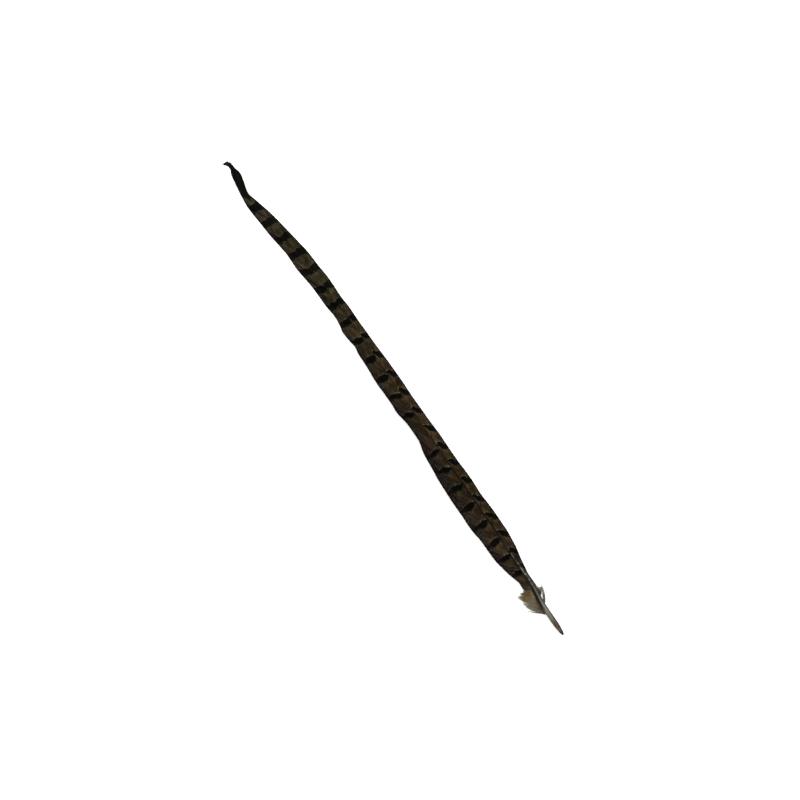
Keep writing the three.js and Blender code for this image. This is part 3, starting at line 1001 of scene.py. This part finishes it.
def bends(first, control, last):
    """Curved lines from the first points to the last ones, drawn towards the control points."""
    t = np.linspace(0, 1, STEM_STATIONS)[None, :, None]
    first, control, last = (points[:, None] for points in (first, control, last))
    return first * (1 - t) ** 2 + 2 * control * t * (1 - t) + last * t**2


def downy_tuft(name, material, stems, half_width, per_stem):
    """Downy barbs along stems shaped (stem, station, xyz), with barbules, in one mesh."""
    rng = np.random.default_rng(SEEDS[name + "_barbules"])
    shape = stems.shape[:2]
    thread = clumped(len(stems), rng)
    stem_share = np.linspace(0, 1, STEM_STATIONS)
    narrowing = 1 - smooth_step(0.55, 1.0, stem_share)
    stem_widths = STEM_THINNEST + (half_width - STEM_THINNEST) * narrowing
    stem_depths = np.interp(stem_share, [0, 1], STEM_DEPTHS)
    radii = np.interp(stem_share, [0, 0.5, 1], BARBULE_RADII)

    barbules, share = barbule_lines(stems, per_stem, rng)
    radii = np.broadcast_to(radii, barbules.shape[:2])
    barbule_share = np.repeat(share.reshape(-1, 1), STEM_STATIONS, axis=1)
    barbule_thread = np.repeat(thread, per_stem) * 0.7 + rng.random(len(barbules)) * 0.3

    lines = np.concatenate([stems, barbules])
    lines[..., 2] = np.maximum(lines[..., 2], DOWN_LEAST_HEIGHT)
    widths = np.concatenate([np.broadcast_to(stem_widths, shape), radii])
    depths = np.concatenate([np.broadcast_to(stem_depths, shape), radii])
    outward = np.concatenate([np.broadcast_to(stem_share, shape), barbule_share])
    rings = strand_rings(lines, widths, depths)
    attributes = {
        "outward": outward[:, :, None],
        "thread": np.concatenate([thread, barbule_thread])[:, None, None],
        "y_share": rings[..., 1] / LENGTH,
    }
    return tubes(name, rings, material, attributes)


def stems_between(roots, tips, rise, wave, rng):
    """Curved lines from roots to tips that rise a little on the way and bend slightly tipwards."""
    control = roots + (tips - roots) * np.array([0.53, 0.47, 0.5]) + np.array([0.0, 0.0, rise])
    phase = rng.uniform(0, 2 * math.pi, (len(roots), 1, 3))
    t = np.linspace(0, 1, STEM_STATIONS)[None, :, None]
    waves = np.sin(5 * t + phase) * wave * t
    return bends(roots, control, tips) + waves * np.array([1.0, 1.0, 0.6])


# The left tuft's outline from its lowest downy barb's tip round to its highest: (x, y).
LEFT_TUFT_TIPS = [
    (-11.6, 35.3), (-12.4, 38.6), (-12.9, 41.4), (-12, 43.8), (-13, 46.2), (-13.8, 48.8),
    (-12.8, 49.8), (-9.9, 48.4), (-10.4, 50.8), (-8.1, 49.4), (-6.3, 50.5), (-4.9, 52),
]
LEFT_TUFT_ROOTS = (22.8, 49.5)  # along the shaft
LEFT_TUFT_BARBS = 90
STRAY_BARB = 3  # one of the lowest downy barbs stands apart
STRAY_TIP = (-16.2, 37)
RIGHT_TUFT_TIPS = [(8.6, 39.6), (9.2, 43), (10.2, 47), (9.4, 45), (8.4, 43.2), (7.6, 42)]
RIGHT_TUFT_ROOTS = (31, 33.5)
RIGHT_TUFT_BARBS = 18
RIGHT_WISP_TIPS = [(9.6, 45), (8.4, 44.6), (7.2, 45.2), (6.2, 46.4), (5, 47.4)]
RIGHT_WISP_ROOTS = (38.5, 44)
RIGHT_WISP_BARBS = 20


def tips_along(outline, count, rng, jitter):
    """Points spread along an outline, each moved a little."""
    corners = np.array(outline, float)
    steps = np.linalg.norm(np.diff(corners, axis=0), axis=1)
    run = np.concatenate([[0], np.cumsum(steps)])
    at = np.linspace(0, run[-1], count)
    x = np.interp(at, run, corners[:, 0])
    y = np.interp(at, run, corners[:, 1])
    return np.stack([x, y], axis=-1) + rng.normal(0, jitter, (count, 2))


def roots_on_shaft(side, stretch, count, rng):
    """Points along one side of a stretch of the shaft, where downy barbs grow."""
    y = np.linspace(*stretch, count) + rng.normal(0, 0.15, count)
    middle = along(SHAFT_LINE, y)
    width = along(SHAFT_SECTION, y)[:, 0]
    return np.stack([middle[:, 0] + side * 0.42 * width, y, middle[:, 1] - 0.1], axis=-1)


def left_down():
    """The tan tuft, a fan of straight downy barbs with one stray at its foot."""
    rng = np.random.default_rng(SEEDS["left_down"])
    count = LEFT_TUFT_BARBS
    roots = roots_on_shaft(LEFT, LEFT_TUFT_ROOTS, count, rng)
    flat_tips = tips_along(LEFT_TUFT_TIPS, count, rng, 0.2)
    shorter = rng.uniform(0.0, 0.16, count) * np.linspace(0.3, 1, count)
    flat_tips = flat_tips + (roots[:, :2] - flat_tips) * shorter[:, None]
    flat_tips[STRAY_BARB] = STRAY_TIP
    height = 0.7 + rng.uniform(0, 1.4, count)
    tips = np.concatenate([flat_tips, height[:, None]], axis=1)
    stems = stems_between(roots, tips, 0.5, 0.16, rng)
    greys = [
        (0.0, 40, 34, 25), (0.1, 74, 62, 50), (0.45, 108, 99, 84), (1.0, 134, 129, 115),
    ]
    tans = [
        (0.0, 24, 19, 11), (0.08, 56, 46, 32), (0.16, 112, 103, 80), (0.4, 96, 78, 56),
        (0.7, 102, 83, 54), (0.88, 100, 94, 74), (1.0, 122, 120, 102),
    ]
    material = down("tan_down", greys, tans)
    return downy_tuft("left_down", material, stems, half_width=0.42, per_stem=26)


def right_down():
    """The pale tuft: a narrow fan that stands off the shaft, and wisps nearer the vane."""
    rng = np.random.default_rng(SEEDS["right_down"])
    tuft_roots = roots_on_shaft(RIGHT, RIGHT_TUFT_ROOTS, RIGHT_TUFT_BARBS, rng)
    wisp_roots = roots_on_shaft(RIGHT, RIGHT_WISP_ROOTS, RIGHT_WISP_BARBS, rng)
    tuft_tips = tips_along(RIGHT_TUFT_TIPS, RIGHT_TUFT_BARBS, rng, 0.2)
    wisp_tips = tips_along(RIGHT_WISP_TIPS, RIGHT_WISP_BARBS, rng, 0.25)
    roots = np.concatenate([tuft_roots, wisp_roots])
    flat_tips = np.concatenate([tuft_tips, wisp_tips])
    height = 4.2 + rng.uniform(-0.5, 0.8, len(roots))
    tips = np.concatenate([flat_tips, height[:, None]], axis=1)
    stems = stems_between(roots, tips, 0.3, 0.1, rng)
    low = [(0.0, 96, 93, 82), (0.4, 128, 122, 106), (1.0, 142, 136, 120)]
    high = [(0.0, 40, 37, 32), (0.3, 88, 84, 74), (1.0, 160, 155, 144)]
    material = down("pale_down", low, high)
    return downy_tuft("right_down", material, stems, half_width=0.22, per_stem=30)


# ---- Scene ----

CAMERA_PLACE = (0.00275, -0.0044)
CAMERA_TURN = math.radians(-35.9)
CAMERA_HEIGHT = 1.911
CAMERA_LENS = 100.0
CAMERA_SENSOR = 36.0
CAMERA_RANGE = 100.0
FLOOR_SIZE = 40.0
FLOOR_DEPTH = -0.0001
FLOOR_SHADE = (0.9, 0.9, 0.9, 1.0)
FLOOR_GLOW = 0.4
KEY_PLACE = (1.1, 0.2, 1.5)
KEY_SIZE = 1.2
KEY_POWER = 22.0


def make_camera():
    """A camera straight above the feather, turned as in the photograph."""
    data = bpy.data.cameras.new("camera")
    data.lens = CAMERA_LENS
    data.sensor_width = CAMERA_SENSOR
    data.clip_end = CAMERA_RANGE
    camera = add_object("camera", data)
    camera.location = (*CAMERA_PLACE, CAMERA_HEIGHT)
    camera.rotation_euler = (0, 0, CAMERA_TURN)
    bpy.context.scene.camera = camera


def make_floor():
    """A wide white floor that glows a little, so that it comes out plain white."""
    half = FLOOR_SIZE / 2
    corners = [(-half, -half), (half, -half), (half, half), (-half, half)]
    mesh = bpy.data.meshes.new("floor")
    mesh.from_pydata([(x, y, FLOOR_DEPTH) for x, y in corners], [], [(0, 1, 2, 3)])
    paint = Paint("floor_white", roughness=1.0, specular=0.0)
    paint.shader.inputs["Emission Color"].default_value = WHITE
    paint.shader.inputs["Emission Strength"].default_value = FLOOR_GLOW
    mesh.materials.append(paint.finish(FLOOR_SHADE))
    floor = add_object("floor", mesh)


def make_light():
    """Even white light from all round, and one soft lamp from the right."""
    world = bpy.data.worlds.new("white_room")
    world.use_nodes = True
    background = world.node_tree.nodes["Background"]
    background.inputs["Color"].default_value = WHITE
    background.inputs["Strength"].default_value = 1.0
    bpy.context.scene.world = world
    data = bpy.data.lights.new("key", "AREA")
    data.shape = "DISK"
    data.size = KEY_SIZE
    data.energy = KEY_POWER
    key = add_object("key", data)
    key.location = KEY_PLACE
    key.rotation_euler = (0, math.atan2(KEY_PLACE[0], KEY_PLACE[2]), 0)
    key.visible_camera = False
    bpy.context.scene.view_settings.view_transform = "Standard"


def place(piece, node, slot):
    """Puts a piece on the feather's one body, in place of a CAD node."""
    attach(piece, "root")
    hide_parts(node)


make_camera()
make_floor()
make_light()
place(shaft(), "shaft", "horn")
place(vane("left_barbs", LEFT), "left_vane", "barred_barbs")
place(vane("right_barbs", RIGHT), "right_vane", "barred_barbs")
place(left_down(), "left_down_tuft", "down")
place(right_down(), "right_down_tuft", "down")
